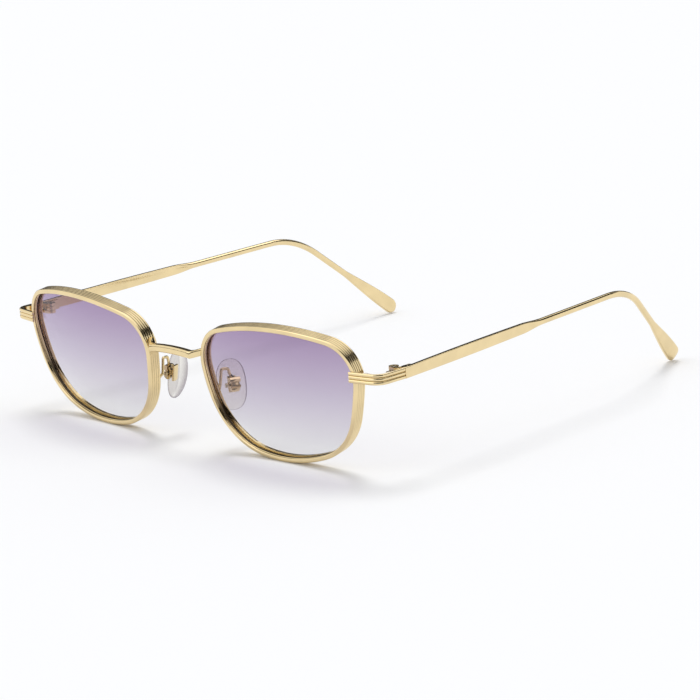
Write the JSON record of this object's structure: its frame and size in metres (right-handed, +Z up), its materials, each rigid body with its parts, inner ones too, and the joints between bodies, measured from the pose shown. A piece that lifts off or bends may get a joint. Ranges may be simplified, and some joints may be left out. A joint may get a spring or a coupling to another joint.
{
  "type": "square sunglasses",
  "caption": "Square metal sunglasses with ribbed rims, tinted lenses, folding wire temples and rocking nose pads.",
  "frame": {"origin": "centre of the frame on the table it stands on, under the middle of its bounding box", "axes": "+X towards the right-hand end piece in the picture, +Y from the lenses back to the ear tips, +Z up"},
  "size_m": [0.1416, 0.14, 0.0368],
  "materials": {
    "gold": "polished pale gold plating",
    "lens": "gradient tint, darker at the top",
    "pad": "clear soft silicone",
    "screw": "plated steel"
  },
  "bodies": {
    "front": {"bridge": "gold", "right_rim": "gold", "right_lens": "lens", "right_end_piece": "gold", "right_upper_block": "gold", "right_lower_block": "gold", "right_rim_screw": "screw", "right_front_leaf": "gold", "right_hinge_screw": "screw", "right_pad_arm": "gold", "right_pad_box": "gold", "right_pad_screw": "screw", "left_rim": "gold", "left_lens": "lens", "left_end_piece": "gold", "left_upper_block": "gold", "left_lower_block": "gold", "left_rim_screw": "screw", "left_front_leaf": "gold", "left_hinge_screw": "screw", "left_pad_arm": "gold", "left_pad_box": "gold", "left_pad_screw": "screw"},
    "right_temple": {"right_temple": "gold", "right_temple_leaf": "gold"},
    "right_pad": {"right_nose_pad": "pad", "right_pad_insert": "gold"},
    "left_temple": {"left_temple": "gold", "left_temple_leaf": "gold"},
    "left_pad": {"left_nose_pad": "pad", "left_pad_insert": "gold"}
  },
  "joints": [
    {"name": "right_temple_fold", "type": "hinge", "parent": "front", "child": "right_temple", "pos_m": [0.0667, -0.05441, 0.02584], "axis": [0, 0, 1], "range_deg": [0, 85]},
    {"name": "left_temple_fold", "type": "hinge", "parent": "front", "child": "left_temple", "pos_m": [-0.0667, -0.05441, 0.02584], "axis": [0, 0, -1], "range_deg": [0, 80]},
    {"name": "right_pad_rock", "type": "hinge", "parent": "front", "child": "right_pad", "pos_m": [0.01269, -0.05929, 0.01613], "axis": [0.3746, 0.9272, 0], "range_deg": [-6, 6]},
    {"name": "left_pad_rock", "type": "hinge", "parent": "front", "child": "left_pad", "pos_m": [-0.01269, -0.05929, 0.01613], "axis": [-0.3746, 0.9272, 0], "range_deg": [-6, 6]}
  ]
}
